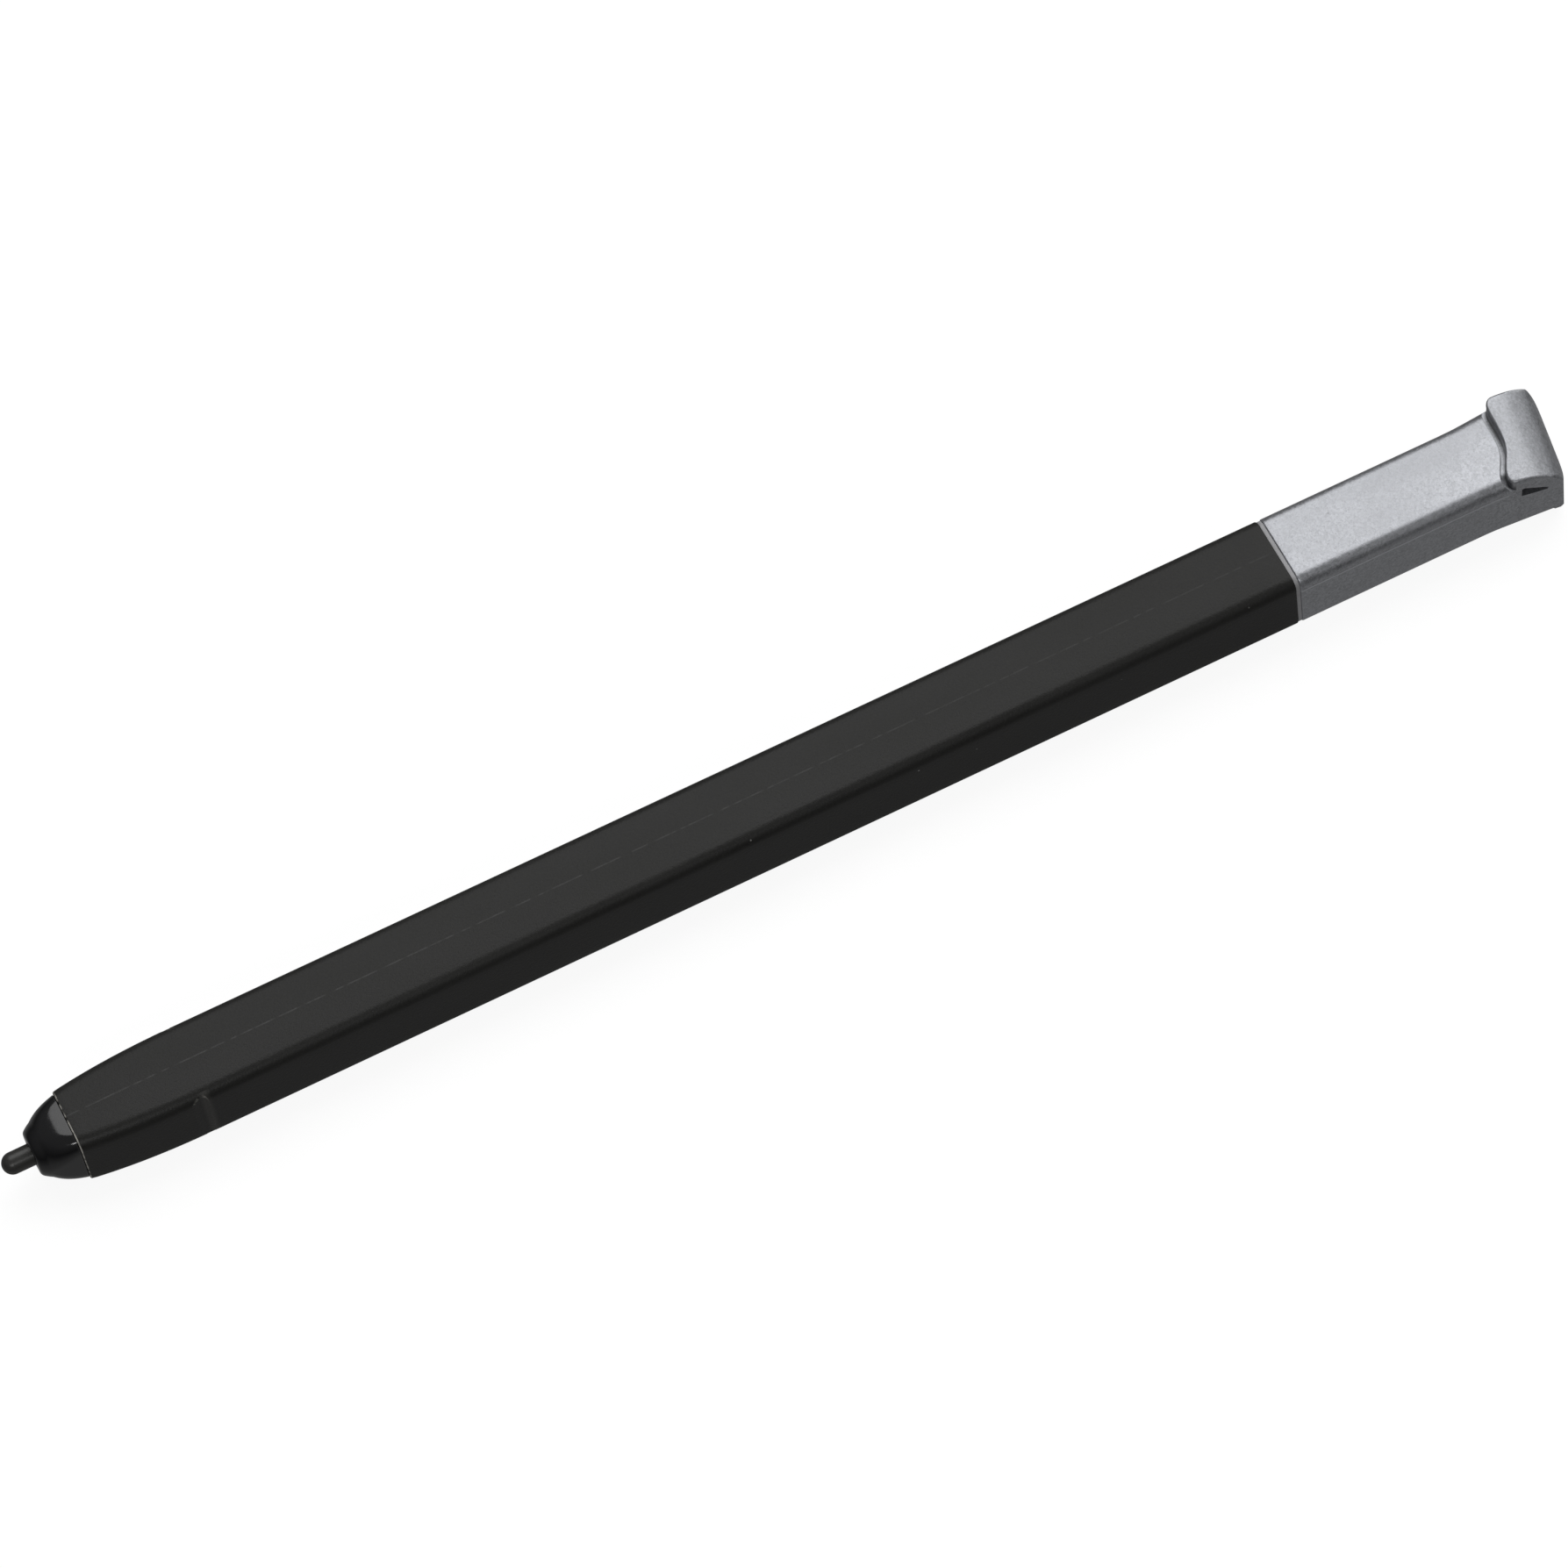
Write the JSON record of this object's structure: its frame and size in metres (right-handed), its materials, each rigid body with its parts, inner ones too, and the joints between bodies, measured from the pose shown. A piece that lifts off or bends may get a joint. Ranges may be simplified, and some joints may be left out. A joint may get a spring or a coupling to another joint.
{
  "type": "digitiser stylus pen",
  "caption": "Slim rounded-square tablet stylus with a replaceable ball nib, gloss nose cone, matt barrel, and a hooked silver tail with a tether slot.",
  "frame": {"origin": "centre of the bounding box in plan, on the plane of the flat underside", "axes": "-X points out of the nib, +X to the tail, +Z to the face with the hook, -Y to the near narrow side"},
  "size_m": [0.1345, 0.0081, 0.0075],
  "materials": {
    "barrel_plastic": "matt soft-touch black",
    "cone_plastic": "gloss black moulding",
    "nib_plastic": "dark grey satin acetal",
    "insert_plastic": "pale grey moulding",
    "silver_paint": "silver paint with fine metal flake",
    "soft_rubber": "conductive rubber",
    "ferrite": "sintered ferrite",
    "enamelled_copper": "varnished copper wire",
    "ivory_plastic": "ivory moulding",
    "white_plastic": "white moulding",
    "spring_steel": "bright spring steel",
    "ceramic": "fired ceramic with tinned ends",
    "contact_brass": "stamped brass",
    "inner_plastic": "black inner moulding",
    "board_laminate": "green solder mask",
    "plunger_plastic": "red-brown moulding"
  },
  "bodies": {
    "casing": {"barrel": "barrel_plastic", "nose_cone": "cone_plastic", "tail_plug": "insert_plastic", "tail_cap": "silver_paint", "cushion_ring": "soft_rubber", "ferrite_core": "ferrite", "induction_coil": "enamelled_copper", "coil_leads": "enamelled_copper", "sensor_housing": "ivory_plastic", "return_spring": "spring_steel", "dielectric_disc": "ceramic", "terminal_plate": "contact_brass", "board_carrier": "inner_plastic", "circuit_board": "board_laminate", "chip_capacitors": "ceramic", "trimmer": "white_plastic", "switch_base": "inner_plastic", "switch_dome": "spring_steel", "button_guide": "inner_plastic", "rear_spacer": "inner_plastic"},
    "holder": {"nib_holder": "white_plastic", "pressure_rubber": "soft_rubber"},
    "nib": {"nib": "nib_plastic"},
    "button": {"side_button": "cone_plastic", "switch_plunger": "plunger_plastic"}
  },
  "joints": [
    {"name": "nib_press", "type": "slide", "parent": "casing", "child": "holder", "axis": [1, 0, 0], "range_m": [0, 0.0003], "stiffness_N_per_m": 600, "springref_m": -0.0004, "deforming": ["return_spring"]},
    {"name": "nib_pull", "type": "slide", "parent": "holder", "child": "nib", "axis": [-1, 0, 0], "range_m": [0, 0.03]},
    {"name": "button_press", "type": "slide", "parent": "casing", "child": "button", "axis": [0, 0, 1], "range_m": [0, 0.00025], "stiffness_N_per_m": 900, "springref_m": -0.0005}
  ]
}
